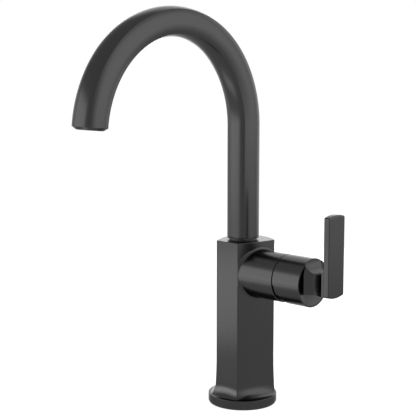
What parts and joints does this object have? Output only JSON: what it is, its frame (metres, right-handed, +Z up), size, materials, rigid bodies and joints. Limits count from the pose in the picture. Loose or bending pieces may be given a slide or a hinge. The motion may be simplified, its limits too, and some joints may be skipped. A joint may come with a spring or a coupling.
{
  "type": "gooseneck bar faucet",
  "caption": "Single-hole bar faucet in satin black: round foot, bowed upright body, swivelling soft-square gooseneck spout, and a side hub with an upright lever.",
  "frame": {"origin": "centre of the round foot's underside, on the deck, on the spout's swivel axis", "axes": "+Z up from the deck, -Y towards the outlet of the spout at rest, +X along the handle's axis"},
  "size_m": [0.124, 0.2061, 0.3259],
  "materials": {
    "satin_black": "satin near-black coating on zinc and brass",
    "brass": "machined brass",
    "copper": "drawn copper tube",
    "steel": "stainless steel",
    "ceramic": "polished alumina",
    "black_rubber": "matte rubber",
    "glide_plastic": "matte low-friction plastic",
    "white_plastic": "matte acetal",
    "grey_plastic": "matte acetal",
    "black_plastic": "matte plastic"
  },
  "bodies": {
    "faucet_body": {"base_gasket": "black_rubber", "base_plate": "brass", "base_plate_screws": "steel", "body_shell": "satin_black", "handle_collar": "satin_black", "hot_tube": "copper", "cold_tube": "copper", "waterway_core": "brass", "spout_stop_screw": "steel", "glide_washer": "glide_plastic", "valve_socket": "brass", "cartridge_seals": "black_rubber", "cartridge_base": "grey_plastic", "fixed_disc": "ceramic", "cartridge_housing": "grey_plastic", "bonnet_nut": "brass", "bonnet_dome": "satin_black"},
    "spout": {"neck_ring": "satin_black", "spout_tail": "brass", "spout_orings": "black_rubber", "spout_tube": "satin_black", "spout_tip": "satin_black", "aerator_washer": "black_rubber", "aerator_insert": "white_plastic", "aerator_housing": "black_plastic", "aerator_screen": "grey_plastic"},
    "temperature_carrier": {"cartridge_rotor": "grey_plastic", "rotor_pin": "steel"},
    "flow_disc": {"moving_disc": "ceramic", "disc_driver": "white_plastic"},
    "lever": {"lever_stem": "steel", "hub_bushing": "brass", "handle_hub": "satin_black", "hub_set_screw": "steel", "lever_blade": "satin_black"}
  },
  "joints": [
    {"name": "spout_swivel", "type": "hinge", "parent": "faucet_body", "child": "spout", "pos_m": [0, 0, 0.137], "axis": [0, 0, 1], "range_deg": [-60, 60]},
    {"name": "temperature_turn", "type": "hinge", "parent": "faucet_body", "child": "temperature_carrier", "pos_m": [0.047, 0, 0.1112], "axis": [1, 0, 0], "range_deg": [-45, 45]},
    {"name": "flow_tilt", "type": "hinge", "parent": "temperature_carrier", "child": "lever", "pos_m": [0.047, 0, 0.1112], "axis": [0, 1, 0], "range_deg": [0, 20]},
    {"name": "disc_slide", "type": "slide", "parent": "temperature_carrier", "child": "flow_disc", "axis": [0, 0, 1], "range_m": [0, 0.004]}
  ],
  "couplings": [
    {"joint": "disc_slide", "follows": "flow_tilt", "m_per_rad": 0.011}
  ]
}
